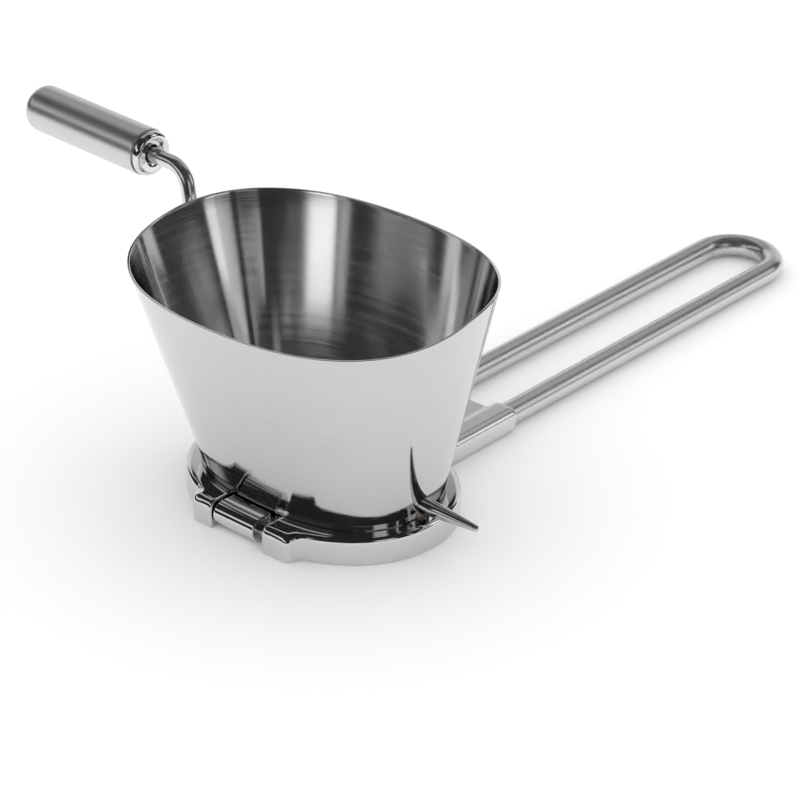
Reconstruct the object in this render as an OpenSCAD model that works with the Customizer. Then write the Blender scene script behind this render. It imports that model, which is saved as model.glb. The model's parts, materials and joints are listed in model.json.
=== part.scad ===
// Hand-cranked herb mill: an oval hopper that hinges on a cast base ring, a cutter shaft
// lying across the ring, a bent crank with a free-spinning grip, and a round-rod loop handle.
// Frame: origin at the centre of the base ring's underside, +X along the cutter shaft towards
// its tapered nose, +Y towards the handle, +Z up.

/* [Base ring] */
// Half length of the ring, along the shaft
ring_a = 45; // [44.5:0.5:47]
// Half width of the ring, across the shaft
ring_b = 35; // [34.8:0.1:35.4]
// Height of the ring
ring_h = 8.8; // [8.8:0.1:9.2]
// Radius of the ring's rounded top edge
ring_shoulder = 1.5; // [1:0.1:1.8]
// Half width of the pair of hinge knuckles
knuckle_x = 20; // [19:0.5:22]
// How far the knuckles stand out from the ring's centre
knuckle_y = 35.8; // [35.7:0.1:36.4]

/* [Hopper] */
// Half length of the hopper's lower outline
foot_a = 39.9; // [39.6:0.1:40.2]
// Half width of the hopper's lower outline
foot_b = 27.5; // [27.3:0.1:27.6]
// Mean height of the rim above the table
rim_h = 76.9; // [72:0.1:82]
// Half length of the rim's base outline
rim_a = 60.7; // [58:0.1:61]
// Half width of the rim's base outline
rim_b = 45.5; // [42:0.1:48]
// Thickness of the sheet
sheet = 0.8; // [0.6:0.1:1]

/* [Cutter] */
// Height of the shaft's axis above the table
shaft_z = 12.8; // [12.8:0.1:13.2]
// Number of cutting discs
disc_count = 10; // [10:1:10]
// Radius of a cutting disc over its teeth
disc_r = 11.5; // [9:0.5:12]
// Thickness of a cutting disc
disc_t = 1; // [0.8:0.1:1.4]
// Teeth on a disc
disc_teeth = 5; // [4:1:6]

/* [Crank] */
// How far the crank leans from upright, towards the handle
crank_turn = 9; // [0:1:20]
// Radius of the bent rod
wire_r = 2.4; // [2:0.1:2.4]
// Crank radius, from the shaft to the grip's axis at the bend
crank_r = 72.3; // [70:0.1:80]
// Outer radius of the grip
grip_r = 7.5; // [7.2:0.1:8.2]
// Length of the grip's tube
grip_len = 50.5; // [50:0.5:60]

/* [Handle] */
// Radius of the handle rod
rod_r = 3.75; // [3.5:0.05:3.8]
// Half distance between the two legs of the handle
leg_x = 13.3; // [13.2:0.1:13.5]
// Distance from the ring's centre to the centre of the loop's round end
loop_y = 208.2; // [150:0.1:230]

/* [Hidden] */
$fn = 64;
eps = 0.02;
outline_steps = 96;

// Ring
ring_n = 2.1;
ring_foot_chamfer = 0.4;
outlet_a = 32.5;
outlet_b = 17.5;
outlet_n = 2.45;
pocket_a = 33.5;
pocket_b = 23.5;
comb_top = 8;
comb_t = 1.5;
ledge_z = comb_top - comb_t;
notch_x = [-11.4, 9.6];
notch_gap = 0.3;
knuckle_top_r = 3;
knuckle_bottom_r = 1.2;
knuckle_corner_r = 2.2;
knuckle_back = 28;

// Hinge
hinge_y = -31.8;
hinge_z = 4.4;
barrel_r = 3.7;
barrel_x = [-10.9, 5.4];
pin_r = 1.5;
pin_x = [-19.8, 17.4];
hinge_play = 0.05;
leaf_z = 4.6;

// Hopper: the rim is a rounded outline that is flatter on its long sides,
// narrower towards the handle and lower over the hinge
hopper_gap = 0.3;
hopper_z = ring_h + hopper_gap;
skirt_h = 1.8;
foot_n = 2.45;
rim_n = 1.78;
rim_y = -1.25;
rim_taper = -0.042;
rim_square = -0.044;
rim_tilt = 2.78;
rim_saddle = 0.88;
rim_wave_3 = 0.5;
rim_wave_4 = 0.3;
slot_r = 2.8;
slot_reach = 4;
slot_depth = 12;
slot_lean = 12.5;

// Saddles and bushes
saddle_x = [33.5, 38.2];
saddle_y = 6;
bush_r = 4;
shaft_r = 2.5;
running_play = 0.05;

// Cutter stack
flange_r = 5;
flange_t = 1.5;
stack_x = [-31.5, 29.5];
nut_t = 3;
nut_r = 4.6;
spacer_r = 4.5;
spacer_len = (stack_x[1] - stack_x[0] - disc_count * disc_t) / (disc_count + 1);
disc_pitch = disc_t + spacer_len;
square_side = 2 * shaft_r;
tooth_gullet_r = 4.2;
tooth_gullet_at = 10.4;
shaft_left = -48.6;
shaft_right = 40.4;
spigot_r = 1.5;
spigot_len = 6;
nose_root_r = 2.65;
nose_tip_r = 1;
nose_len = 21;

// Combs
finger_w = 1.8;
finger_tip_y = 1.5;
comb_bar_y = 13;
screw_r = 1.45;
comb_screw_x = 12;
comb_screw_y = 19.8;
comb_screw_len = 6;
comb_screw_head_r = 2.7;

// Crank
hub_x = [-50.4, -43.8];
hub_r = 3.7;
cross_pin_r = 0.9;
cross_pin_len = 7;
corner_x = -66.6;
grip_tilt = 1.8;
lean_top = 19.5;
bow_r = 448;
bend_r = 8.5;
arm_foot_r = 3.05;
arm_end_s = 62;
bend_turn = 90 - grip_tilt - lean_top;
tangent = bend_r * tan(bend_turn / 2);
bend_end = [corner_x + tangent * sin(lean_top), crank_r - tangent * cos(lean_top)];
bow_centre = bend_end - bow_r * [cos(lean_top), sin(lean_top)];
bow_from = asin((arm_foot_r - bow_centre[1]) / bow_r);
bend_centre = bend_end - bend_r * [cos(lean_top), sin(lean_top)];
bend_overlap = 2;
bend_swell = 0.03;

// Grip, measured along its own axis from the crank's corner
collar_s = 13.3;
groove_s = 16.2;
grip_wall = 1;
grip_round_r = 4.6;
collar_r = 7.1;
collar_round_r = 1.5;
collar_dish_r = [4.9, 3.1];
collar_mouth_r = 2.8;
collar_plug = 8;
grip_bush_s = 54;
grip_bush_len = 6;
retainer_t = 0.8;
retainer_r = 4;

// Handle and bracket
rod_z = 4.2;
bracket_x = 18.1;
bracket_in_x = 8.6;
bracket_top = 8.2;
bracket_end_y = 70;
bracket_end_r = 4;
web_end_y = 66;
web_z = [4.9, 7.4];
rod_start_y = 39;
tongue_x = 8.9;
tongue_y = 26.9;
tongue_top = 4.9;
bracket_screw_x = 4.5;
bracket_screw_y = 31;
bracket_screw_head_r = 2.9;
bracket_screw_len = 6.2;
bracket_screw_head_h = 1.6;

// Catch that keeps the hopper shut
clip_x = 5.5;
clip_y = [28.7, 33.2];
clip_t = 0.6;
leaf_gap = 0.12;
tab_t = 1;
leaf_t = 0.5;
clip_top = 14.5;
tab_y = 32.9;
tab_z = [11, 15.2];
rivet_x = 3.6;
rivet_r = 1;
rivet_head_r = 1.5;
rivet_depth = 1.8;

// ---- outlines ----

function power(v, p) = sign(v) * pow(abs(v), p);

// A superellipse: n = 2 is an ellipse, larger is squarer
function oval(a, b, n, steps = outline_steps) =
    [for (i = [0:steps - 1]) let (t = 360 * i / steps)
        [a * power(cos(t), 2 / n), b * power(sin(t), 2 / n)]];

function arc(x, y, r, from, to, steps = 8) =
    [for (i = [0:steps]) let (t = from + (to - from) * i / steps) [x + r * cos(t), y + r * sin(t)]];

function raise(points, z) = [for (p = points) [p[0], p[1], z]];

// The hopper's rim, drawn inset from its outer edge
function rim(inset, steps = outline_steps) =
    [for (i = [0:steps - 1])
        let (t = 360 * i / steps,
             m = 1 + rim_taper * sin(t) + rim_square * cos(4 * t),
             z = rim_h + rim_tilt * sin(t) + rim_saddle * cos(2 * t)
                 + rim_wave_3 * sin(3 * t) + rim_wave_4 * cos(4 * t))
        [(rim_a - inset) * power(cos(t), 2 / rim_n) * m,
         (rim_b - inset) * power(sin(t), 2 / rim_n) * m + rim_y, z]];

// Side triangles between successive closed rings of points
function sides(rings, steps, closed) =
    [for (k = [0:rings - (closed ? 1 : 2)], i = [0:steps - 1])
        let (j = (i + 1) % steps, a = k * steps, b = ((k + 1) % rings) * steps)
        each [[a + i, b + i, b + j], [a + i, b + j, a + j]]];

// A solid skin over stacked rings, with flat ends
module loft(rings) {
    steps = len(rings[0]);
    last = (len(rings) - 1) * steps;
    polyhedron(
        points = [for (r = rings) each r],
        faces = concat([[for (i = [0:steps - 1]) i]],
            sides(len(rings), steps, false),
            [[for (i = [steps - 1:-1:0]) last + i]]));
}

// A tube whose wall runs through the rings and back to the first
module closed_wall(rings) {
    steps = len(rings[0]);
    polyhedron(points = [for (r = rings) each r], faces = sides(len(rings), steps, true));
}

module oval_bar(a, b, n, z0, z1) {
    translate([0, 0, z0]) linear_extrude(z1 - z0) polygon(oval(a, b, n));
}

module along_x(x0, x1) {
    translate([x0, 0, 0]) rotate([90, 0, 90]) linear_extrude(x1 - x0) children();
}

module rod_x(x0, x1, r) {
    translate([x0, 0, 0]) rotate([0, 90, 0]) cylinder(h = x1 - x0, r = r);
}

module countersunk(len, r, head_r, head_h) {
    translate([0, 0, -len]) cylinder(h = len, r = r);
    translate([0, 0, -head_h]) cylinder(h = head_h, r1 = r, r2 = head_r);
}

// ---- base ring ----

module knuckle_outline() {
    polygon(concat(
        arc(-knuckle_y + knuckle_bottom_r, knuckle_bottom_r, knuckle_bottom_r, 270, 180),
        arc(-knuckle_y + knuckle_top_r, ring_h - knuckle_top_r, knuckle_top_r, 180, 90),
        [[-knuckle_back, ring_h], [-knuckle_back, 0]]));
}

module knuckle_plan() {
    polygon(concat(
        arc(-knuckle_x + knuckle_corner_r, -knuckle_y + knuckle_corner_r, knuckle_corner_r, 180, 270),
        arc(knuckle_x - knuckle_corner_r, -knuckle_y + knuckle_corner_r, knuckle_corner_r, 270, 360),
        [[knuckle_x + 1.5, -knuckle_back], [-knuckle_x - 1.5, -knuckle_back]]));
}

module ring_body() {
    top = ring_h - ring_shoulder;
    loft(concat(
        [raise(oval(ring_a - ring_foot_chamfer, ring_b - ring_foot_chamfer, ring_n), 0),
         raise(oval(ring_a, ring_b, ring_n), ring_foot_chamfer)],
        [for (t = [0:15:90]) let (d = ring_shoulder * (1 - cos(t)))
            raise(oval(ring_a - d, ring_b - d, ring_n), top + ring_shoulder * sin(t))]));
    intersection() {
        along_x(-knuckle_x - 2, knuckle_x + 2) knuckle_outline();
        linear_extrude(ring_h) knuckle_plan();
    }
}

module hinge_notch() {
    difference() {
        translate([notch_x[0], -knuckle_y - 1, -1])
            cube([notch_x[1] - notch_x[0], knuckle_y - 20, ring_h + 2]);
        oval_bar(foot_a - sheet - notch_gap, foot_b - sheet - notch_gap, foot_n, -2, ring_h + 2);
    }
}

module saddle(side) {
    x0 = side > 0 ? saddle_x[0] : -saddle_x[1];
    translate([x0, -saddle_y, ring_h - 1])
        cube([saddle_x[1] - saddle_x[0], 2 * saddle_y, shaft_z - ring_h + 1]);
}

module base_ring() color("gainsboro") difference() {
    union() {
        difference() {
            ring_body();
            oval_bar(outlet_a, outlet_b, outlet_n, -1, ring_h + 1);
            oval_bar(pocket_a, pocket_b, outlet_n, ledge_z, ring_h + 1);
            hinge_notch();
        }
        for (side = [-1, 1]) saddle(side);
    }
    for (side = [-1, 1])
        translate([0, 0, shaft_z]) rod_x(side > 0 ? saddle_x[0] - 1 : -saddle_x[1] - 1,
                                         side > 0 ? saddle_x[1] + 1 : -saddle_x[0] + 1, bush_r + eps);
    translate([0, hinge_y, hinge_z]) rod_x(-knuckle_x - 1, pin_x[1] + 0.2, pin_r + eps);
    for (x = [-1, 1], y = [-1, 1])
        translate([x * comb_screw_x, y * comb_screw_y, comb_top - comb_screw_len - 0.2])
            cylinder(h = comb_screw_len, r = screw_r + eps);
    translate([-tongue_x - 0.1, tongue_y - 0.1, -1])
        cube([2 * tongue_x + 0.2, 12, tongue_top + 1.1]);
    for (x = [-1, 1]) {
        translate([x * bracket_screw_x, bracket_screw_y, tongue_top - 1])
            cylinder(h = bracket_screw_len + 0.2 - tongue_top + 1, r = screw_r + eps);
        translate([x * rivet_x, (clip_y[0] + clip_y[1]) / 2, ring_h - rivet_depth])
            cylinder(h = 3, r = rivet_r + eps);
    }
}

// ---- combs ----

module comb(side) color("silver") difference() {
    intersection() {
        oval_bar(pocket_a - 0.15, pocket_b - 0.15, outlet_n, ledge_z, comb_top);
        union() {
            translate([-pocket_a, side > 0 ? comb_bar_y : -pocket_b, ledge_z])
                cube([2 * pocket_a, pocket_b - comb_bar_y, comb_t]);
            for (i = [0:disc_count])
                translate([stack_x[0] + spacer_len / 2 + i * disc_pitch - finger_w / 2,
                           side > 0 ? finger_tip_y : -comb_bar_y - 1, ledge_z])
                    cube([finger_w, comb_bar_y + 1 - finger_tip_y, comb_t]);
        }
    }
    for (x = [-1, 1])
        translate([x * comb_screw_x, side * comb_screw_y, comb_top])
            countersunk(comb_t + 1, screw_r + 0.1, comb_screw_head_r + eps, comb_t);
}

module comb_front() comb(-1);
module comb_rear() comb(1);

// A screw head's hexagonal key socket
module key_socket(r, depth) {
    translate([0, 0, -depth]) cylinder(h = depth + 1, r = r, $fn = 6);
}

module comb_screws() color("gray")
    for (x = [-1, 1], y = [-1, 1])
        translate([x * comb_screw_x, y * comb_screw_y, comb_top]) difference() {
            countersunk(comb_screw_len, screw_r, comb_screw_head_r, comb_t - eps);
            key_socket(1, 0.9);
        }

// ---- bushes ----

module bush(side) color("darkgoldenrod")
    translate([0, 0, shaft_z]) difference() {
        rod_x(side > 0 ? saddle_x[0] : -saddle_x[1], side > 0 ? saddle_x[1] : -saddle_x[0], bush_r);
        rod_x(side > 0 ? saddle_x[0] - 1 : -saddle_x[1] - 1,
              side > 0 ? saddle_x[1] + 1 : -saddle_x[0] + 1, shaft_r + running_play);
    }

module bush_crank_side() bush(-1);
module bush_nose_side() bush(1);

// ---- handle ----

module sleeve_outline() {
    polygon(concat(
        arc(bracket_x - 1.2, 1.2, 1.2, 270, 360),
        arc(bracket_x - 3.8, bracket_top - 3.8, 3.8, 0, 90),
        arc(bracket_in_x + 2.5, bracket_top - 2.5, 2.5, 90, 180),
        arc(bracket_in_x + 1, 1, 1, 180, 270)));
}

module bracket_plan() {
    for (side = [-1, 1]) mirror([side > 0 ? 0 : 1, 0])
        polygon(concat([[bracket_in_x, 20], [bracket_x, 20]],
            arc(bracket_x - bracket_end_r, bracket_end_y - bracket_end_r, bracket_end_r, 0, 90),
            arc(bracket_in_x + 1, bracket_end_y - 1, 1, 90, 180)));
    translate([-bracket_in_x - 1, 20]) square([2 * bracket_in_x + 2, web_end_y - 20]);
}

module handle_bracket() color("silver") difference() {
    union() {
        difference() {
            intersection() {
                translate([0, bracket_end_y + 1, 0]) rotate([90, 0, 0])
                    linear_extrude(bracket_end_y + 1 - 20) {
                        sleeve_outline();
                        mirror([1, 0]) sleeve_outline();
                        translate([-bracket_in_x - 1, web_z[0]])
                            square([2 * bracket_in_x + 2, web_z[1] - web_z[0]]);
                    }
                linear_extrude(bracket_top + 1) bracket_plan();
            }
            oval_bar(ring_a + 0.05, ring_b + 0.05, ring_n, -1, bracket_top + 1);
        }
        translate([-tongue_x, tongue_y, 0]) cube([2 * tongue_x, 42 - tongue_y, tongue_top]);
    }
    for (side = [-1, 1]) {
        translate([side * leg_x, rod_start_y - 0.1, rod_z]) rotate([-90, 0, 0])
            cylinder(h = bracket_end_y, r = rod_r + eps);
        translate([side * bracket_screw_x, bracket_screw_y, 0]) rotate([180, 0, 0])
            countersunk(tongue_top + 1, screw_r + 0.1, bracket_screw_head_r + eps,
                bracket_screw_head_h);
    }
}

module bracket_screws() color("gray")
    for (side = [-1, 1])
        translate([side * bracket_screw_x, bracket_screw_y, eps]) rotate([180, 0, 0]) difference() {
            countersunk(bracket_screw_len, screw_r, bracket_screw_head_r, bracket_screw_head_h);
            key_socket(1, 1);
        }

module handle_loop() color("silver") {
    for (side = [-1, 1])
        translate([side * leg_x, rod_start_y, rod_z]) rotate([-90, 0, 0])
            cylinder(h = loop_y - rod_start_y, r = rod_r);
    translate([0, loop_y, rod_z]) rotate_extrude(angle = 180) translate([leg_x, 0]) circle(rod_r);
}

// ---- hinge and hopper ----

module hinge_pin() color("dimgray")
    translate([0, hinge_y, hinge_z]) rod_x(pin_x[0], pin_x[1], pin_r);

module hinge_barrel() color("silver") difference() {
    union() {
        translate([0, hinge_y, hinge_z]) rod_x(barrel_x[0], barrel_x[1], barrel_r);
        difference() {
            translate([barrel_x[0] + 0.4, hinge_y, leaf_z])
                cube([barrel_x[1] - barrel_x[0] - 0.8, 6, hinge_z + barrel_r - leaf_z]);
            oval_bar(foot_a + eps, foot_b + eps, foot_n, 0, ring_h);
        }
    }
    translate([0, hinge_y, hinge_z])
        rod_x(barrel_x[0] - 1, barrel_x[1] + 1, pin_r + hinge_play);
}

// The tapered shell, from the straight skirt at its foot to the wavy rim
module hopper_shell() {
    outer = oval(foot_a, foot_b, foot_n);
    inner = oval(foot_a - sheet, foot_b - sheet, foot_n);
    skirt_top = hopper_z + skirt_h;
    closed_wall([raise(outer, hopper_z), raise(outer, skirt_top), rim(0),
                 rim(sheet), raise(inner, skirt_top), raise(inner, hopper_z)]);
}

// The tongue that reaches down into the ring's notch and carries the hinge barrel
module hopper_tongue() {
    intersection() {
        difference() {
            oval_bar(foot_a, foot_b, foot_n, leaf_z, hopper_z + 0.2);
            oval_bar(foot_a - sheet, foot_b - sheet, foot_n, leaf_z - 1, hopper_z + 1);
        }
        translate([barrel_x[0] + 0.4, -foot_b - 1, 0])
            cube([barrel_x[1] - barrel_x[0] - 0.8, 4, ring_h + 2]);
    }
}

// Open at the bottom and wider towards the handle, so that it lifts off the shaft as it swings
module shaft_slot(side) {
    translate([side * foot_a, 0, shaft_z]) along_x(-slot_reach, slot_reach)
        polygon(concat(arc(0, 0, slot_r, 0, 180, 16),
            [[-slot_r, -slot_depth], [slot_r + slot_depth * tan(slot_lean), -slot_depth]]));
}

module hopper() color("lightgray") difference() {
    union() {
        hopper_shell();
        hopper_tongue();
    }
    for (side = [-1, 1]) shaft_slot(side);
}

module catch_tab() color("silver") {
    wall_rise = (rim_b * (1 + rim_taper + rim_square) + rim_y - foot_b)
        / (rim_h + rim_tilt - rim_saddle - rim_wave_3 + rim_wave_4 - hopper_z - skirt_h);
    along_x(-tab_t / 2, tab_t / 2) polygon([
        [foot_b + eps + wall_rise * (tab_z[0] - hopper_z - skirt_h), tab_z[0]],
        [tab_y, tab_z[0]], [tab_y, tab_z[1]],
        [foot_b + eps + wall_rise * (tab_z[1] - hopper_z - skirt_h), tab_z[1]]]);
}

module catch_clip() color("silver") difference() {
    union() {
        translate([-clip_x, clip_y[0], ring_h]) cube([2 * clip_x, clip_y[1] - clip_y[0], clip_t]);
        for (side = [-1, 1])
            translate([side > 0 ? tab_t / 2 + leaf_gap : -tab_t / 2 - leaf_gap - leaf_t,
                       clip_y[0], ring_h])
                cube([leaf_t, clip_y[1] - clip_y[0], clip_top - ring_h]);
    }
    for (side = [-1, 1])
        translate([side * rivet_x, (clip_y[0] + clip_y[1]) / 2, ring_h - 1])
            cylinder(h = 3, r = rivet_r + eps);
}

module clip_rivets() color("gray")
    for (side = [-1, 1])
        translate([side * rivet_x, (clip_y[0] + clip_y[1]) / 2, 0]) {
            translate([0, 0, ring_h - rivet_depth + 0.1])
                cylinder(h = rivet_depth + clip_t, r = rivet_r);
            translate([0, 0, ring_h + clip_t]) cylinder(h = 0.8, r1 = rivet_head_r, r2 = 0.8);
        }

// ---- cutter stack ----

module cutter_shaft() color("silver") difference() {
    translate([0, 0, shaft_z]) {
        rod_x(shaft_left, stack_x[0] - flange_t, shaft_r);
        rod_x(stack_x[0] - flange_t, stack_x[0], flange_r);
        translate([stack_x[0] - 0.01, -square_side / 2, -square_side / 2])
            cube([stack_x[1] - stack_x[0] + 0.02, square_side, square_side]);
        rod_x(stack_x[1], shaft_right, shaft_r);
        rod_x(shaft_right - 0.01, shaft_right + spigot_len, spigot_r);
    }
    cross_pin(cross_pin_r + eps, 2 * hub_r);
}

// Toothed blade; each next one is turned a quarter on its square hole
module cutter_disc(i) color("silver")
    translate([stack_x[0] + i * disc_pitch - disc_t, 0, shaft_z])
        rotate([i * 90, 0, 0]) along_x(0, disc_t) difference() {
            circle(disc_r);
            for (k = [0:disc_teeth - 1])
                rotate(360 * k / disc_teeth) translate([tooth_gullet_at, 0]) {
                    circle(tooth_gullet_r);
                    rotate(-35) square([6, tooth_gullet_r]);
                }
            square(square_side + 2 * eps, center = true);
        }

module spacer(i) color("silver")
    translate([stack_x[0] + (i - 1) * disc_pitch, 0, shaft_z])
        along_x(0, spacer_len) difference() {
            circle(spacer_r);
            square(square_side + 2 * eps, center = true);
        }

module stack_nut() color("gray")
    translate([0, 0, shaft_z]) difference() {
        translate([stack_x[1], 0, 0]) rotate([0, 90, 0]) cylinder(h = nut_t, r = nut_r, $fn = 6);
        rod_x(stack_x[1] - 1, stack_x[1] + nut_t + 1, shaft_r + eps);
    }

module shaft_nose() color("gainsboro")
    translate([shaft_right + 0.1, 0, shaft_z]) rotate([0, 90, 0]) rotate_extrude() polygon(concat(
        [[spigot_r + eps, 0], [nose_root_r, 0], [2.12, nose_len * 0.35],
         [1.62, nose_len * 0.65], [1.1, nose_len - 1.6], [nose_tip_r - 0.1, nose_len - 1.3],
         [nose_tip_r, nose_len - nose_tip_r]],
        arc(0, nose_len - nose_tip_r, nose_tip_r, 0, 90),
        [[0, spigot_len + 0.2], [spigot_r + eps, spigot_len + 0.2]]));

// ---- crank ----

// Children are drawn in the crank's own plane: X along the shaft, Z out along the crank
module in_crank() {
    translate([0, 0, shaft_z]) rotate([-crank_turn, 0, 0]) children();
}

// The grip's axis starts at the crank's corner; children are drawn along +Z from it
module on_grip() {
    in_crank() translate([corner_x, 0, crank_r]) rotate([0, -90 + grip_tilt, 0]) children();
}

module arc_rod(centre, radius, from, to, r) {
    translate([centre[0], 0, centre[1]]) rotate([90, 0, 0]) rotate([0, 0, from])
        rotate_extrude(angle = to - from) translate([radius, 0]) circle(r);
}

module arm_bow(r) in_crank() arc_rod(bow_centre, bow_r, bow_from, lean_top, r);

// The bend is a hair thicker than the straight stretches that run into it
module crank_arm() color("silver") {
    arm_bow(wire_r);
    in_crank()
        arc_rod(bend_centre, bend_r, lean_top - bend_overlap, lean_top + bend_turn + bend_overlap,
            wire_r + bend_swell);
    on_grip() translate([0, 0, tangent - 0.1]) cylinder(h = arm_end_s - tangent + 0.1, r = wire_r);
}

module cross_pin(r, len) {
    in_crank() translate([(hub_x[0] + hub_x[1]) / 2, -len / 2, 0])
        rotate([-90, 0, 0]) cylinder(h = len, r = r);
}

module crank_hub() color("silver") difference() {
    in_crank() rod_x(hub_x[0], hub_x[1], hub_r);
    in_crank() rod_x(shaft_left - 0.1, hub_x[1] + 1, shaft_r + eps);
    arm_bow(wire_r + eps);
    cross_pin(cross_pin_r + eps, 2 * hub_r + 2);
}

module crank_cross_pin() color("dimgray") cross_pin(cross_pin_r, cross_pin_len);

module grip_retainer() color("dimgray")
    on_grip() translate([0, 0, grip_bush_s + grip_bush_len + 0.3]) difference() {
        cylinder(h = retainer_t, r = retainer_r);
        translate([0, 0, -1]) cylinder(h = retainer_t + 2, r = wire_r + eps);
    }

// ---- grip ----

module grip_shell() color("silver") {
    end = groove_s + grip_len;
    on_grip() rotate_extrude() polygon(concat(
        [[grip_r - grip_wall, groove_s], [grip_r - 0.25, groove_s], [grip_r, groove_s + 0.3]],
        arc(grip_r - grip_round_r, end - grip_round_r, grip_round_r, 0, 90, 10),
        [[0, end], [0, end - grip_wall]],
        arc(grip_r - grip_round_r, end - grip_round_r, grip_round_r - grip_wall, 90, 0, 10)));
}

module grip_collar() color("gainsboro")
    on_grip() rotate_extrude() polygon(concat(
        [[wire_r + running_play, collar_s + 2.4], [wire_r + running_play, groove_s + collar_plug],
         [grip_r - grip_wall - eps, groove_s + collar_plug],
         [grip_r - grip_wall - eps, groove_s - 0.6], [collar_r, groove_s - 0.6]],
        arc(collar_r - collar_round_r, collar_s + collar_round_r, collar_round_r, 0, -90, 10),
        [[collar_dish_r[0], collar_s + 0.1], [collar_dish_r[1], collar_s + 0.7],
         [collar_mouth_r, collar_s + 1.1]]));

module grip_bush() color("dimgray")
    on_grip() translate([0, 0, grip_bush_s]) difference() {
        cylinder(h = grip_bush_len, r = grip_r - grip_wall - eps);
        translate([0, 0, -1]) cylinder(h = grip_bush_len + 2, r = wire_r + running_play);
    }

base_ring();
handle_bracket();
bracket_screws();
handle_loop();
hinge_pin();
comb_front();
comb_rear();
comb_screws();
bush_crank_side();
bush_nose_side();
catch_clip();
clip_rivets();
hopper();
hinge_barrel();
catch_tab();
cutter_shaft();
stack_nut();
shaft_nose();
crank_hub();
crank_cross_pin();
crank_arm();
grip_retainer();
grip_shell();
grip_collar();
grip_bush();
for (i = [1:disc_count]) cutter_disc(i);
for (i = [1:disc_count + 1]) spacer(i);
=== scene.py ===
"""Looks for the hand-cranked herb mill: polished cast ring, brushed hopper, bent crank and rod handle.

Lengths in this script are millimetres in the CAD frame (origin under the ring, +X along the shaft
towards the nose, +Y along the handle, +Z up); MM turns them into Blender's metres.
"""
import json
import math

import bpy
import numpy as np
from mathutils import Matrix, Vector


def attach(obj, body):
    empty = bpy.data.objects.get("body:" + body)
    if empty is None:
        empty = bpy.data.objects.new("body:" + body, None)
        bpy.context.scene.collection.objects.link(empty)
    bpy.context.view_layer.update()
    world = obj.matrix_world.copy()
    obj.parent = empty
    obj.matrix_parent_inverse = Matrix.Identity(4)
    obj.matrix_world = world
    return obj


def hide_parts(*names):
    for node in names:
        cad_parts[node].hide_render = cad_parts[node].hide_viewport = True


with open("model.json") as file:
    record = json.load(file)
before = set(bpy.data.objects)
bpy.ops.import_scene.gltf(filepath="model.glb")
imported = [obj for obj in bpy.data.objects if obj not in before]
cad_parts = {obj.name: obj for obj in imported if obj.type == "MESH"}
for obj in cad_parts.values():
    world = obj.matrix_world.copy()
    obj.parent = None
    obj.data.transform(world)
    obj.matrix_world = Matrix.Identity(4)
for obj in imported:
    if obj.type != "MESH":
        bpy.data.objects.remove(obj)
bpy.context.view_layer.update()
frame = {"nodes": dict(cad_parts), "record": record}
MM = 0.001

# ---- dimensions that repeat the CAD model's ----
RING = dict(a=45.0, b=35.0, n=2.1)
RING_H = 8.8
RING_SHOULDER = 1.5
OUTLET = dict(a=32.5, b=17.5, n=2.45)
POCKET = dict(a=33.5, b=23.5, n=2.45)
LEDGE_Z = 6.5
KNUCKLE_X = 20.0
KNUCKLE_Y = 35.8
KNUCKLE_TOP_R = 3.0
NOTCH_X = (-11.4, 9.6)
HINGE_Y = -31.8
HINGE_Z = 4.4
PIN_R = 1.5
PIN_END_X = 17.6
BARREL_R = 3.7
BARREL_X = (-10.9, 5.4)
LEAF_Z = 4.6
FOOT = dict(a=39.9, b=27.5, n=2.45)
HOPPER_Z = 9.1
SKIRT_TOP = 10.9
SHEET = 0.8
RIM_A = 60.7
RIM_B = 45.5
RIM_N = 1.78
RIM_Y = -1.25
RIM_H = 76.9
RIM_TAPER = -0.042
RIM_SQUARE = -0.044
RIM_TILT = 2.78
RIM_SADDLE = 0.88
RIM_WAVE_3 = 0.5
RIM_WAVE_4 = 0.3
RIM_EDGE_R = 0.2
SHAFT_Z = 12.8
SLOT_R = 2.8
SLOT_LEAN = math.radians(12.5)
SLOT_DEPTH = 12.0
SLOT_REACH = 5
SADDLE_X = (33.5, 38.2)
SADDLE_Y = 6.0
BUSH_R = 4.0
NOSE_X = 40.5
NOSE_LEN = 21.0
NOSE_ROOT_R = 2.65
NOSE_TIP_R = 1.0
SPIGOT_R = 1.52
SPIGOT_LEN = 6.2
CRANK_TURN = math.radians(9)
CORNER_X = -66.6
CRANK_R = 72.3
GRIP_TILT = math.radians(1.8)
LEAN_TOP = math.radians(19.5)
BOW_R = 448.0
BEND_R = 8.5
WIRE_R = 2.4
ARM_FOOT_R = 3.5
ARM_END_S = 62.0
COLLAR_S = 13.3
GROOVE_S = 16.2
GRIP_LEN = 50.5
GRIP_R = 7.5
GRIP_WALL = 1.0
GRIP_ROUND_R = 4.6
COLLAR_R = 7.1
COLLAR_ROUND_R = 1.5
COLLAR_PLUG = 8
COLLAR_DISH = [[4.9, 0.1], [3.8, 0.35], [3.1, 0.7], [2.8, 1.1]]
ROD_R = 3.75
ROD_Z = 4.2
LEG_X = 13.3
LOOP_Y = 208.2
ROD_START_Y = 39.0
BRACKET_X = 18.1
BRACKET_IN_X = 8.6
BRACKET_TOP = 8.2
BRACKET_END_Y = 70.0
WEB_END_Y = 66.0
WEB_Z = (4.9, 7.4)
TONGUE_X = 8.9
TONGUE_Y = 26.9
TONGUE_TOP = 4.9


# ---- material nodes ----

def new_material(name):
    """An empty node material and its shader."""
    material = bpy.data.materials.new(name)
    material.use_nodes = True
    shader = material.node_tree.nodes["Principled BSDF"]
    return material, shader


def add(tree, kind, **values):
    """A node whose named inputs or properties are set from values."""
    node = tree.nodes.new(kind)
    for key, value in values.items():
        if key in node.inputs:
            node.inputs[key].default_value = value
        else:
            setattr(node, key, value)
    return node


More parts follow.
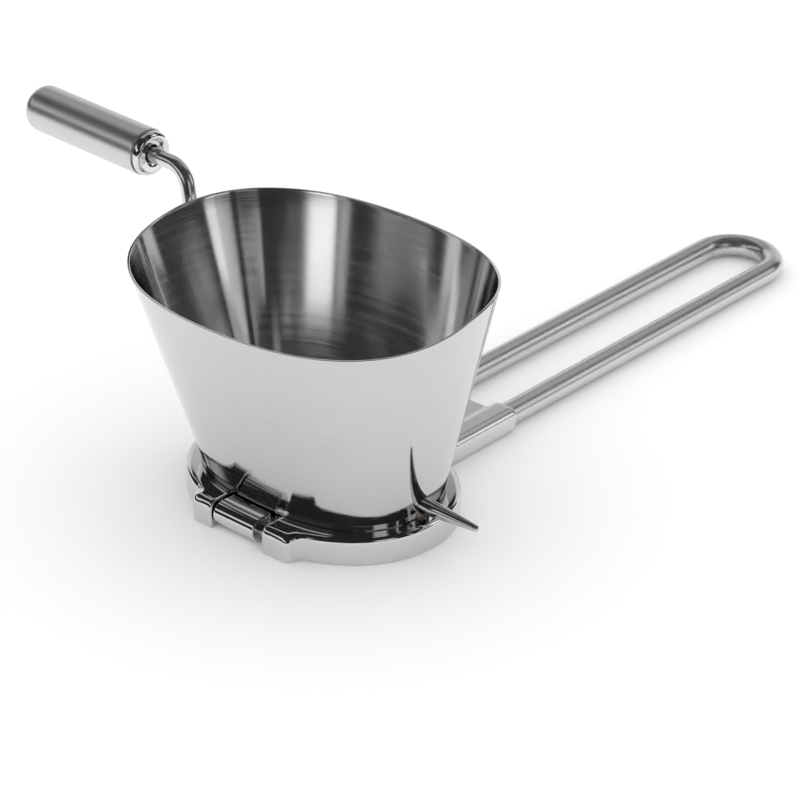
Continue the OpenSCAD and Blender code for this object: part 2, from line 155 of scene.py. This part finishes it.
def streaks(tree, scale, detail=3.0):
    """Noise drawn out into hairlines: scale is lines per metre along X, Y and Z."""
    place = add(tree, "ShaderNodeTexCoord")
    stretch = add(tree, "ShaderNodeMapping")
    stretch.inputs["Scale"].default_value = scale
    noise = add(tree, "ShaderNodeTexNoise", Scale=1.0, Detail=detail, Roughness=0.6)
    tree.links.new(place.outputs["Object"], stretch.inputs["Vector"])
    tree.links.new(stretch.outputs["Vector"], noise.inputs["Vector"])
    return noise.outputs["Fac"]


def ramp(tree, source, low, high, start=0.3, end=0.7):
    """Maps a noise value onto a range."""
    node = add(tree, "ShaderNodeMapRange")
    node.inputs["From Min"].default_value = start
    node.inputs["From Max"].default_value = end
    node.inputs["To Min"].default_value = low
    node.inputs["To Max"].default_value = high
    tree.links.new(source, node.inputs["Value"])
    return node.outputs["Result"]


def tint(tree, source, dark, light):
    """A grey between two values, chosen by a noise value."""
    mix = add(tree, "ShaderNodeMix", data_type="RGBA")
    mix.inputs[6].default_value = (*dark, 1)
    mix.inputs[7].default_value = (*light, 1)
    tree.links.new(source, mix.inputs[0])
    return mix.outputs[2]


def steel(name, colour, rough, grain, spread=0.05, bump=0.0, stretch=0.0, turn=0.0, wear=90.0):
    """Bare metal. grain is its brushing in lines per metre, spread how much its roughness varies."""
    material, shader = new_material(name)
    tree = material.node_tree
    lines = streaks(tree, grain)
    patches = streaks(tree, (wear, wear, wear), 2.0)
    both = add(tree, "ShaderNodeMath", operation="MULTIPLY_ADD")
    both.inputs[1].default_value = 0.6
    tree.links.new(lines, both.inputs[0])
    part = add(tree, "ShaderNodeMath", operation="MULTIPLY")
    part.inputs[1].default_value = 0.4
    tree.links.new(patches, part.inputs[0])
    tree.links.new(part.outputs[0], both.inputs[2])
    darker = [c * 0.93 for c in colour]
    lighter = [min(1, c * 1.05) for c in colour]
    tree.links.new(tint(tree, both.outputs[0], darker, lighter), shader.inputs["Base Color"])
    tree.links.new(ramp(tree, both.outputs[0], rough - spread, rough + spread), shader.inputs["Roughness"])
    shader.inputs["Metallic"].default_value = 1.0
    if stretch:
        shader.inputs["Anisotropic"].default_value = stretch
        shader.inputs["Anisotropic Rotation"].default_value = turn
        tangent = add(tree, "ShaderNodeTangent", direction_type="RADIAL", axis="Z")
        tree.links.new(tangent.outputs[0], shader.inputs["Tangent"])
    if bump:
        relief = add(tree, "ShaderNodeBump", Strength=bump, Distance=0.0001)
        tree.links.new(lines, relief.inputs["Height"])
        tree.links.new(relief.outputs[0], shader.inputs["Normal"])
    return material


def plastic(name, colour, rough):
    """Moulded bearing plastic with a fine grain."""
    material, shader = new_material(name)
    tree = material.node_tree
    grain = streaks(tree, (900, 900, 900), 4.0)
    darker = [c * 0.8 for c in colour]
    lighter = [c * 1.3 for c in colour]
    tree.links.new(tint(tree, grain, darker, lighter), shader.inputs["Base Color"])
    tree.links.new(ramp(tree, grain, rough - 0.08, rough + 0.08), shader.inputs["Roughness"])
    relief = add(tree, "ShaderNodeBump", Strength=0.15, Distance=0.0001)
    tree.links.new(grain, relief.inputs["Height"])
    tree.links.new(relief.outputs[0], shader.inputs["Normal"])
    return material


ALONG_X = (25, 1800, 1800)
ALONG_Y = (1800, 25, 1800)
AROUND_Z = (14, 14, 1900)
EVEN = (500, 500, 500)
FINISHES = {
    "cast_polished": steel("cast_polished", (0.68, 0.68, 0.69), 0.055, EVEN, 0.02),
    "bracket_satin": steel("bracket_satin", (0.72, 0.72, 0.72), 0.24, ALONG_Y, 0.05),
    "rod_satin": steel("rod_satin", (0.66, 0.66, 0.67), 0.28, ALONG_Y, 0.06, bump=0.06),
    "pin_steel": steel("pin_steel", (0.40, 0.40, 0.41), 0.15, EVEN),
    # pin_steel is a darker grey than the other steels. That is painted shade for the hinge gap where the pin
    # shows.
    "comb_steel": steel("comb_steel", (0.62, 0.62, 0.63), 0.30, (30, 900, 900), 0.08),
    "bush_bronze": steel("bush_bronze", (0.36, 0.33, 0.29), 0.38, EVEN, 0.08),
    "spring_steel": steel("spring_steel", (0.64, 0.64, 0.65), 0.22, ALONG_X),
    "fastener_steel": steel("fastener_steel", (0.58, 0.58, 0.59), 0.28, EVEN, 0.08),
    "fastener_dark": steel("fastener_dark", (0.16, 0.16, 0.17), 0.38, EVEN, 0.08),
    # The hopper's inside gets a lighter copy of the outside sheet's metal (0.86 against 0.64). That is
    # painted light for the brighter inside of the cone, not a different finish.
    "hopper_sheet": steel("hopper_sheet", (0.64, 0.64, 0.645), 0.09, AROUND_Z, 0.05,
                          bump=0.02, stretch=0.6, turn=0.25),
    "hopper_inside_painted_light": steel("hopper_inside_painted_light", (0.86, 0.86, 0.86), 0.11, AROUND_Z, 0.05,
                           bump=0.05, stretch=0.85, turn=0.25),
    "shaft_steel": steel("shaft_steel", (0.66, 0.66, 0.67), 0.25, EVEN, 0.06),
    "blade_steel": steel("blade_steel", (0.68, 0.69, 0.70), 0.24, (900, 40, 900), 0.08),
    "nose_polished": steel("nose_polished", (0.52, 0.52, 0.53), 0.12, EVEN, 0.03),
    "crank_steel": steel("crank_steel", (0.70, 0.70, 0.71), 0.19, (400, 400, 60), 0.04),
    "grip_satin": steel("grip_satin", (0.64, 0.64, 0.65), 0.33, ALONG_X, 0.05, bump=0.05),
    "collar_polished": steel("collar_polished", (0.74, 0.74, 0.75), 0.09, EVEN, 0.02),
    "bush_plastic": plastic("bush_plastic", (0.05, 0.05, 0.05), 0.5),
}
NODE_SLOT = {s["node"]: s["material_slot"] for s in frame["record"]["subparts"]}
NODE_BODY = {n: body for body, names in frame["record"]["behaviour"]["bodies"].items() for n in names}

for node, shown in frame["nodes"].items():
    shown.data.materials.clear()
    shown.data.materials.append(FINISHES[NODE_SLOT[node]])


# ---- meshes ----

def piece(name, points, faces, node, sharp=35.0):
    """A mesh piece that stands for one CAD node: its body, slot and finish come from that node."""
    mesh = bpy.data.meshes.new(name)
    mesh.from_pydata([tuple(p) for p in np.asarray(points, float) * MM], [], [tuple(f) for f in faces])
    mesh.validate()
    mesh.shade_smooth()
    mesh.set_sharp_from_angle(angle=math.radians(sharp))
    mesh.materials.append(FINISHES[NODE_SLOT[node]])
    made = bpy.data.objects.new(name, mesh)
    bpy.context.scene.collection.objects.link(made)
    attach(made, NODE_BODY[node])
    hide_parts(node)
    return made


def grid_faces(rings, sides, closed=False):
    """Quads between successive closed rings of points."""
    last = rings if closed else rings - 1
    return [(k * sides + i, k * sides + (i + 1) % sides,
             (k + 1) % rings * sides + (i + 1) % sides, (k + 1) % rings * sides + i)
            for k in range(last) for i in range(sides)]


def split(profile, step):
    """The same profile with its long straight stretches cut into short ones."""
    points = [profile[0]]
    for a, b in zip(profile, profile[1:]):
        count = max(1, math.ceil(math.dist(a, b) / step))
        points += [[a[k] + (b[k] - a[k]) * i / count for k in range(2)] for i in range(1, count + 1)]
    return points


def arc(x, y, r, start, end, steps=8):
    """Points on an arc, with its angles in degrees."""
    angles = [math.radians(start + (end - start) * i / steps) for i in range(steps + 1)]
    return [[x + r * math.cos(t), y + r * math.sin(t)] for t in angles]


def turned(profile, origin, axis, sides=96):
    """A closed profile of [radius, distance along axis], turned about that axis."""
    axis = Vector(axis).normalized()
    side = axis.orthogonal().normalized()
    other = axis.cross(side)
    angles = [2 * math.pi * i / sides for i in range(sides)]
    points = [Vector(origin) + axis * s + (side * math.cos(t) + other * math.sin(t)) * max(r, 1e-3)
              for r, s in profile for t in angles]
    return points, grid_faces(len(profile), sides, closed=True)


def tube(path, radius, sides=48):
    """A round rod swept along a path, with flat ends."""
    path = [Vector(p) for p in path]
    ahead = [(path[min(i + 1, len(path) - 1)] - path[max(i - 1, 0)]).normalized() for i in range(len(path))]
    side = ahead[0].orthogonal().normalized()
    points = []
    for centre, way in zip(path, ahead):
        side = (side - way * side.dot(way)).normalized()
        other = way.cross(side)
        points += [centre + (side * math.cos(t) + other * math.sin(t)) * radius
                   for t in (2 * math.pi * i / sides for i in range(sides))]
    end = (len(path) - 1) * sides
    caps = [tuple(reversed(range(sides))), tuple(range(end, end + sides))]
    return points, grid_faces(len(path), sides) + caps


# ---- solids from distance fields, for the castings with blended edges ----

def oval_distance(x, y, a, b, n):
    """Distance to a superellipse, true to first order near its outline."""
    u, v = np.abs(x) / a + 1e-9, np.abs(y) / b + 1e-9
    level = (u ** n + v ** n) ** (1 / n)
    slope = np.hypot(u ** (n - 1) / a, v ** (n - 1) / b) * level ** (1 - n)
    return (level - 1) / slope


def span(v, low, high):
    """Distance to the slab between two values."""
    return np.maximum(low - v, v - high)


def meet(a, b, r):
    """What two solids share, with the edge between them rounded."""
    a, b = a + r, b + r
    return np.minimum(np.maximum(a, b), 0) + np.hypot(np.maximum(a, 0), np.maximum(b, 0)) - r


def join(a, b, r):
    """Two solids together, with a fillet between them."""
    return -meet(-a, -b, r)


def cut(a, b, r):
    """The first solid without the second, with the edge rounded."""
    return meet(a, -b, r)


def smooth_step(v, low, high):
    t = np.clip((v - low) / (high - low), 0, 1)
    return t * t * (3 - 2 * t)


def skin(distance, low, high, step):
    """A mesh of the surface where a distance field is zero: one point in each cell that it crosses."""
    axes = [np.arange(lo - 2 * step, hi + 2 * step, step) for lo, hi in zip(low, high)]
    inside = distance(*np.meshgrid(*axes, indexing="ij")) < 0
    n = np.array(inside.shape)
    corners = [(i, j, k) for i in (0, 1) for j in (0, 1) for k in (0, 1)]
    count = sum(inside[i:n[0] - 1 + i, j:n[1] - 1 + j, k:n[2] - 1 + k].astype(np.int8) for i, j, k in corners)
    mixed = (count > 0) & (count < 8)
    number = np.full(mixed.shape, -1)
    number[mixed] = np.arange(mixed.sum())
    cells = np.argwhere(mixed)
    points = np.stack([axes[k][cells[:, k]] + step / 2 for k in range(3)], 1)
    start = points.copy()
    nudge = 0.02
    for _ in range(6):
        value = distance(*points.T)
        rises = [distance(*(points + nudge * e).T) - distance(*(points - nudge * e).T) for e in np.eye(3)]
        slope = np.stack([rise / (2 * nudge) for rise in rises], 1)
        points = points - slope * (value / np.maximum((slope ** 2).sum(1), 0.05))[:, None]
        points = start + np.clip(points - start, -step, step)
    faces = []
    for k in range(3):
        p, q = (k + 1) % 3, (k + 2) % 3
        first = np.take(inside, range(n[k] - 1), k)
        change = first != np.take(inside, range(1, n[k]), k)
        for edge in np.argwhere(change):
            cell = edge.copy()
            ring = []
            for dp, dq in ((-1, -1), (0, -1), (0, 0), (-1, 0)):
                cell[p], cell[q] = edge[p] + dp, edge[q] + dq
                ring.append(int(number[tuple(cell)]))
            faces.append(ring if first[tuple(edge)] else ring[::-1])
    return points, faces


def ring_distance(x, y, z):
    """The cast ring: oval body, hinge knuckles, outlet, comb pocket, hinge notch and shaft saddles."""
    knuckle = meet(span(x, -KNUCKLE_X, KNUCKLE_X), span(y, -KNUCKLE_Y, -20), 2.2)
    plan = join(oval_distance(x, y, **RING), knuckle, 2.6)
    over_knuckle = smooth_step(-np.abs(x), -KNUCKLE_X - 1.5, -KNUCKLE_X + 1.5) * smooth_step(-y, 20, 28)
    shoulder = RING_SHOULDER + (KNUCKLE_TOP_R - RING_SHOULDER) * over_knuckle
    body = meet(meet(plan, z - RING_H, shoulder), -z, 0.5)
    body = cut(body, oval_distance(x, y, **OUTLET), 0.4)
    body = cut(body, np.maximum(oval_distance(x, y, **POCKET), LEDGE_Z - z), 0.2)
    foot = oval_distance(x, y, FOOT["a"] - 1.1, FOOT["b"] - 1.1, FOOT["n"])
    notch = np.maximum(np.maximum(span(x, *NOTCH_X), y + 20), -foot)
    body = cut(body, notch, 0.5)
    saddle = meet(meet(span(np.abs(x), *SADDLE_X), np.abs(y) - SADDLE_Y, 0.5), span(z, LEDGE_Z, SHAFT_Z), 0.4)
    body = join(body, saddle, 0.5)
    body = np.maximum(body, BUSH_R - np.hypot(y, z - SHAFT_Z))
    pin_bore = np.maximum(np.hypot(y - HINGE_Y, z - HINGE_Z) - PIN_R, span(x, -KNUCKLE_X - 1, PIN_END_X))
    body = np.maximum(body, -pin_bore)
    tongue = np.maximum(np.maximum(np.abs(x) - TONGUE_X - 0.1, TONGUE_Y - 0.1 - y), z - TONGUE_TOP - 0.1)
    return cut(body, tongue, 0.2)


def bracket_distance(x, y, z):
    """Two sleeves for the handle's legs, the web plate between them and the tongue under the ring."""
    across = np.abs(x)
    sleeve = meet(meet(BRACKET_IN_X - across, -z, 1.0), z - BRACKET_TOP, 2.5)
    sleeve = meet(meet(sleeve, across - BRACKET_X, 2.6), y - BRACKET_END_Y, 1.6)
    web = np.maximum(across - BRACKET_IN_X - 1, span(z, *WEB_Z))
    web = meet(meet(web, y - WEB_END_Y, 0.6), z - WEB_Z[1], 0.3)
    body = join(sleeve, web, 0.6)
    body = np.maximum(body, 0.05 - oval_distance(x, y, **RING))
    tongue = meet(across - TONGUE_X, span(z, 0, TONGUE_TOP), 0.2)
    tongue = np.maximum(tongue, span(y, TONGUE_Y, 42))
    body = np.minimum(body, tongue)
    return np.maximum(body, ROD_R + 0.04 - np.hypot(across - LEG_X, z - ROD_Z) - 99 * (y < ROD_START_Y))


def barrel_distance(x, y, z):
    """The hinge barrel, with the leaf that holds it to the hopper's tongue."""
    around = np.hypot(y - HINGE_Y, z - HINGE_Z)
    barrel = meet(around - BARREL_R, span(x, *BARREL_X), 0.35)
    leaf = np.maximum(span(x, BARREL_X[0] + 0.4, BARREL_X[1] - 0.4), span(z, LEAF_Z, HINGE_Z + BARREL_R))
    leaf = np.maximum(leaf, span(y, HINGE_Y, HINGE_Y + 6))
    leaf = np.maximum(leaf, -oval_distance(x, y, FOOT["a"] + 0.02, FOOT["b"] + 0.02, FOOT["n"]))
    return np.maximum(join(barrel, leaf, 0.5), PIN_R + 0.05 - around)


# ---- the pieces ----

def make_ring():
    low = (-RING["a"], -KNUCKLE_Y, 0)
    high = (RING["a"], RING["b"], SHAFT_Z)
    piece("ring_casting", *skin(ring_distance, low, high, 0.5), "base_ring", sharp=50)


def make_bracket():
    low = (-BRACKET_X, TONGUE_Y, 0)
    high = (BRACKET_X, BRACKET_END_Y, BRACKET_TOP)
    piece("bracket_casting", *skin(bracket_distance, low, high, 0.4), "handle_bracket", sharp=50)


def make_barrel():
    low = (BARREL_X[0], HINGE_Y - BARREL_R, HINGE_Z - BARREL_R)
    high = (BARREL_X[1], HINGE_Y + 6, HINGE_Z + BARREL_R)
    piece("barrel_casting", *skin(barrel_distance, low, high, 0.2), "hinge_barrel", sharp=50)


def rim_point(t, inset):
    """The hopper's rim at angle t, inset from its outer edge."""
    c, s = math.cos(t), math.sin(t)
    m = 1 + RIM_TAPER * s + RIM_SQUARE * math.cos(4 * t)
    return Vector((
        (RIM_A - inset) * math.copysign(abs(c) ** (2 / RIM_N), c) * m,
        (RIM_B - inset) * math.copysign(abs(s) ** (2 / RIM_N), s) * m + RIM_Y,
        RIM_H + RIM_TILT * s + RIM_SADDLE * math.cos(2 * t)
        + RIM_WAVE_3 * math.sin(3 * t) + RIM_WAVE_4 * math.cos(4 * t)))


def foot_point(t, inset, z):
    """The hopper's lower outline at angle t."""
    c, s = math.cos(t), math.sin(t)
    power = 2 / FOOT["n"]
    return Vector(((FOOT["a"] - inset) * math.copysign(abs(c) ** power, c),
                   (FOOT["b"] - inset) * math.copysign(abs(s) ** power, s), z))


def wall_column(t):
    """One upright loop through the sheet: up the outside, over the eased rim and down the inside."""
    heights = [0, 0.004, 0.012] + [i / 20 for i in range(1, 20)] + [0.985, 0.995]
    outer = [foot_point(t, 0, HOPPER_Z), foot_point(t, 0, SKIRT_TOP - 0.3)]
    outer += [foot_point(t, 0, SKIRT_TOP).lerp(rim_point(t, 0), v) for v in heights]
    inner = [foot_point(t, SHEET, HOPPER_Z), foot_point(t, SHEET, SKIRT_TOP - 0.3)]
    inner += [foot_point(t, SHEET, SKIRT_TOP).lerp(rim_point(t, SHEET), v) for v in heights]
    a, b = rim_point(t, 0), rim_point(t, SHEET)
    up = (a - foot_point(t, 0, SKIRT_TOP)).normalized()
    centre = (a + b) / 2
    reach = (a - b).normalized()
    edge = []
    for side, start in ((1, 0), (-1, 90)):
        for u in (math.radians(start + i * 18) for i in range(6)):
            edge.append(centre + side * reach * (SHEET / 2 - RIM_EDGE_R)
                        + reach * RIM_EDGE_R * math.cos(u) + up * RIM_EDGE_R * (math.sin(u) - 1))
    return outer + edge + inner[::-1]


def cutter_block(points_2d, x0, x1):
    """A prism along X from a Y-Z outline, for cutting the shaft slots."""
    count = len(points_2d)
    mesh = bpy.data.meshes.new("slot")
    points = [(x * MM, y * MM, z * MM) for x in (x0, x1) for y, z in points_2d]
    faces = [(i, (i + 1) % count, count + (i + 1) % count, count + i) for i in range(count)]
    mesh.from_pydata(points, [], faces + [tuple(reversed(range(count))), tuple(range(count, 2 * count))])
    block = bpy.data.objects.new("slot", mesh)
    bpy.context.scene.collection.objects.link(block)
    return block


def make_hopper():
    steps = 360
    columns = [wall_column(2 * math.pi * i / steps) for i in range(steps)]
    rings = len(columns[0])
    points = [columns[i][k] for k in range(rings) for i in range(steps)]
    hopper = piece("hopper_shell", points, grid_faces(rings, steps, closed=True), "hopper", sharp=40)
    # The inner faces take the lighter copy of the sheet metal, which is painted light on the hopper's inside.
    hopper.data.materials.append(FINISHES["hopper_inside_painted_light"])
    inner_from = (rings + 3) // 2 * steps
    for polygon in hopper.data.polygons:
        polygon.material_index = int(min(polygon.vertices) >= inner_from)
    slot_end = SHAFT_Z - SLOT_DEPTH
    outline = arc(0, SHAFT_Z, SLOT_R, 0, 180, 32)
    outline += [[-SLOT_R, slot_end], [SLOT_R + SLOT_DEPTH * math.tan(SLOT_LEAN), slot_end]]
    for side in (-1, 1):
        middle = side * (FOOT["a"] - 1)
        block = cutter_block(outline, middle - SLOT_REACH, middle + SLOT_REACH)
        trim = hopper.modifiers.new("slot", "BOOLEAN")
        trim.operation = "DIFFERENCE"
        trim.solver = "EXACT"
        trim.object = block
        with bpy.context.temp_override(object=hopper, active_object=hopper):
            bpy.ops.object.modifier_apply(modifier=trim.name)
        bpy.data.objects.remove(block)


def in_crank(x, out, across=0.0):
    """A point in the crank's own plane: x along the shaft, out along the crank."""
    c, s = math.cos(CRANK_TURN), math.sin(CRANK_TURN)
    return Vector((x, out * s + across * c, SHAFT_Z + out * c - across * s))


GRIP_ORIGIN = in_crank(CORNER_X, CRANK_R)
GRIP_AXIS = in_crank(CORNER_X - math.cos(GRIP_TILT), CRANK_R + math.sin(GRIP_TILT)) - GRIP_ORIGIN


def make_arm():
    turn = math.pi / 2 - GRIP_TILT - LEAN_TOP
    tangent = BEND_R * math.tan(turn / 2)
    end = (CORNER_X + tangent * math.sin(LEAN_TOP), CRANK_R - tangent * math.cos(LEAN_TOP))
    bow = (end[0] - BOW_R * math.cos(LEAN_TOP), end[1] - BOW_R * math.sin(LEAN_TOP))
    bend = (end[0] - BEND_R * math.cos(LEAN_TOP), end[1] - BEND_R * math.sin(LEAN_TOP))
    start = math.asin((ARM_FOOT_R - bow[1]) / BOW_R)
    path = [in_crank(bow[0] + BOW_R * math.cos(t), bow[1] + BOW_R * math.sin(t))
            for t in np.linspace(start, LEAN_TOP, 40)]
    path += [in_crank(bend[0] + BEND_R * math.cos(t), bend[1] + BEND_R * math.sin(t))
             for t in np.linspace(LEAN_TOP, LEAN_TOP + turn, 32)[1:]]
    path += [GRIP_ORIGIN + GRIP_AXIS * s for s in np.linspace(tangent, ARM_END_S, 20)[1:]]
    piece("arm_rod", *tube(path, WIRE_R), "crank_arm")


def make_grip():
    end = GROOVE_S + GRIP_LEN
    shell = [[GRIP_R - GRIP_WALL, GROOVE_S], [GRIP_R - 0.3, GROOVE_S]]
    shell += arc(GRIP_R - 0.3, GROOVE_S + 0.3, 0.3, -90, 0, 4)
    shell += arc(GRIP_R - GRIP_ROUND_R, end - GRIP_ROUND_R, GRIP_ROUND_R, 0, 90, 16)
    shell += [[0, end], [0, end - GRIP_WALL]]
    shell += arc(GRIP_R - GRIP_ROUND_R, end - GRIP_ROUND_R, GRIP_ROUND_R - GRIP_WALL, 90, 0, 10)
    shell += [shell[0]]
    piece("grip_tube", *turned(split(shell, 1.0)[:-1], GRIP_ORIGIN, GRIP_AXIS), "grip_shell")
    inner = GRIP_R - GRIP_WALL - 0.02
    plug_end = GROOVE_S + COLLAR_PLUG
    bore = WIRE_R + 0.05
    collar = [[bore, COLLAR_S + 2.4], [bore, plug_end], [inner, plug_end], [inner, GROOVE_S - 0.6]]
    collar += arc(COLLAR_R - 0.2, GROOVE_S - 0.8, 0.2, 90, 0, 4)
    collar += arc(COLLAR_R - COLLAR_ROUND_R, COLLAR_S + COLLAR_ROUND_R, COLLAR_ROUND_R, 0, -90, 14)
    collar += [[r, COLLAR_S + s] for r, s in COLLAR_DISH]
    collar += [collar[0]]
    piece("collar_turned", *turned(split(collar, 0.8)[:-1], GRIP_ORIGIN, GRIP_AXIS), "grip_collar")


def make_nose():
    nose = [[SPIGOT_R, 0], [NOSE_ROOT_R - 0.2, 0]] + arc(NOSE_ROOT_R - 0.2, 0.2, 0.2, -90, 0, 4)
    nose += [[2.12, NOSE_LEN * 0.35], [1.62, NOSE_LEN * 0.65], [1.1, NOSE_LEN - 1.6]]
    nose += [[NOSE_TIP_R - 0.1, NOSE_LEN - 1.3]]
    nose += arc(0, NOSE_LEN - NOSE_TIP_R, NOSE_TIP_R, 0, 90, 8)
    nose += [[0, SPIGOT_LEN], [SPIGOT_R, SPIGOT_LEN], nose[0]]
    piece("nose_turned", *turned(split(nose, 0.6)[:-1], (NOSE_X, 0, SHAFT_Z), (1, 0, 0)), "shaft_nose")


def make_handle():
    legs = np.linspace(ROD_START_Y, LOOP_Y, 60)
    path = [(-LEG_X, y, ROD_Z) for y in legs]
    path += [(x, LOOP_Y + y, ROD_Z) for x, y in arc(0, 0, LEG_X, 180, 0, 48)[1:-1]]
    path += [(LEG_X, y, ROD_Z) for y in legs[::-1]]
    piece("handle_rod", *tube(path, ROD_R, 64), "handle_loop")


make_ring()
make_bracket()
make_barrel()
make_hopper()
make_arm()
make_grip()
make_nose()
make_handle()


# ---- studio ----

CAMERA_AZIMUTH = math.radians(41.955)
CAMERA_ELEVATION = math.radians(28.314)


def make_camera():
    data = bpy.data.cameras.new("camera")
    data.sensor_width = 36
    data.lens = 131.07
    data.clip_start = 0.01
    data.clip_end = 20
    camera = bpy.data.objects.new("camera", data)
    camera.location = (0.52415, -0.5482, 0.4412)
    camera.rotation_euler = (math.pi / 2 - CAMERA_ELEVATION, 0, CAMERA_AZIMUTH)
    bpy.context.scene.collection.objects.link(camera)
    bpy.context.scene.camera = camera


def make_floor():
    material, shader = new_material("floor_white")
    shader.inputs["Base Color"].default_value = (0.96, 0.96, 0.96, 1)
    shader.inputs["Roughness"].default_value = 0.9
    shader.inputs["Specular IOR Level"].default_value = 0.0
    size = 0.9
    mesh = bpy.data.meshes.new("floor")
    mesh.from_pydata([(x, y, 0) for x, y in ((-size, -size), (size, -size), (size, size), (-size, size))],
                     [], [(0, 1, 2, 3)])
    mesh.materials.append(material)
    floor = bpy.data.objects.new("floor", mesh)
    bpy.context.scene.collection.objects.link(floor)


def math_node(tree, operation, a, b=None, c=None):
    node = add(tree, "ShaderNodeMath", operation=operation)
    for index, value in enumerate((a, b, c)):
        if value is None:
            continue
        if isinstance(value, (int, float)):
            node.inputs[index].default_value = value
        else:
            tree.links.new(value, node.inputs[index])
    return node.outputs[0]


def window(tree, value, low, high, soft):
    """1 between low and high, with soft ends."""
    rise = ramp(tree, value, 0, 1, low - soft, low + soft)
    fall = ramp(tree, value, 1, 0, high - soft, high + soft)
    return math_node(tree, "MULTIPLY", rise, fall)


# The studio that the metal mirrors: (middle azimuth, half width, lowest, highest elevation,
# brightness, softness of the sides), angles in degrees; azimuth 0 is straight ahead of the camera,
# positive to its left. GLOOM is the dark room between the panels and HORIZON the darker band below
# HORIZON_TOP degrees. ROOM_LIGHT is the even white light that falls on the floor.
PANELS = [
    (-4, 44, -10, 30, 1.0, 2),
    (125, 20, 16, 26.5, 1.5, 3),
    (84, 22, 17, 29, 1.0, 3),
    (-85.5, 7, 9, 38, 1.6, 1.0),
    (-98, 3, 9, 34, 0.6, 1.0),
    (-119.3, 1.4, 9, 34, 0.8, 0.3),
    (-149, 11, 8, 34, 0.8, 2.5),
    (-10, 60, 38, 66, 0.6, 4),
    (70, 200, 78, 100, 0.2, 5),
]
GLOOM = 0.025
HORIZON = 0.02
HORIZON_TOP = 9
ROOM_LIGHT = 1.4


def make_world():
    world = bpy.data.worlds.new("studio")
    bpy.context.scene.world = world
    world.use_nodes = True
    tree = world.node_tree
    tree.nodes.clear()
    place = add(tree, "ShaderNodeTexCoord")
    turned_view = add(tree, "ShaderNodeMapping", vector_type="VECTOR")
    turned_view.inputs["Rotation"].default_value = (0, 0, -CAMERA_AZIMUTH)
    tree.links.new(place.outputs["Generated"], turned_view.inputs["Vector"])
    axes = add(tree, "ShaderNodeSeparateXYZ")
    tree.links.new(turned_view.outputs["Vector"], axes.inputs[0])
    x, y, z = axes.outputs
    degrees = 180 / math.pi
    leftward = math_node(tree, "MULTIPLY", x, -1.0)
    azimuth = math_node(tree, "MULTIPLY", math_node(tree, "ARCTAN2", leftward, y), degrees)
    elevation = math_node(tree, "MULTIPLY", math_node(tree, "ARCSINE", z), degrees)
    light = math_node(tree, "MULTIPLY", window(tree, elevation, HORIZON_TOP, 200, 3), GLOOM)
    light = math_node(tree, "MAXIMUM", light, HORIZON)
    for middle, half, low, high, bright, soft in PANELS:
        offset = math_node(tree, "WRAP", math_node(tree, "SUBTRACT", azimuth, float(middle)), 180.0, -180.0)
        level = math_node(tree, "MULTIPLY", window(tree, offset, -half, half, soft),
                          window(tree, elevation, low, high, 1.3))
        light = math_node(tree, "MAXIMUM", light, math_node(tree, "MULTIPLY", level, bright))
    path = add(tree, "ShaderNodeLightPath")
    mirrored = add(tree, "ShaderNodeMix", data_type="FLOAT")
    mirrored.inputs[2].default_value = ROOM_LIGHT
    tree.links.new(path.outputs["Is Glossy Ray"], mirrored.inputs[0])
    tree.links.new(light, mirrored.inputs[3])
    background = add(tree, "ShaderNodeBackground")
    tree.links.new(mirrored.outputs[0], background.inputs["Strength"])
    output = add(tree, "ShaderNodeOutputWorld")
    tree.links.new(background.outputs[0], output.inputs[0])


make_camera()
make_floor()
make_world()
bpy.context.scene.view_settings.view_transform = "Standard"
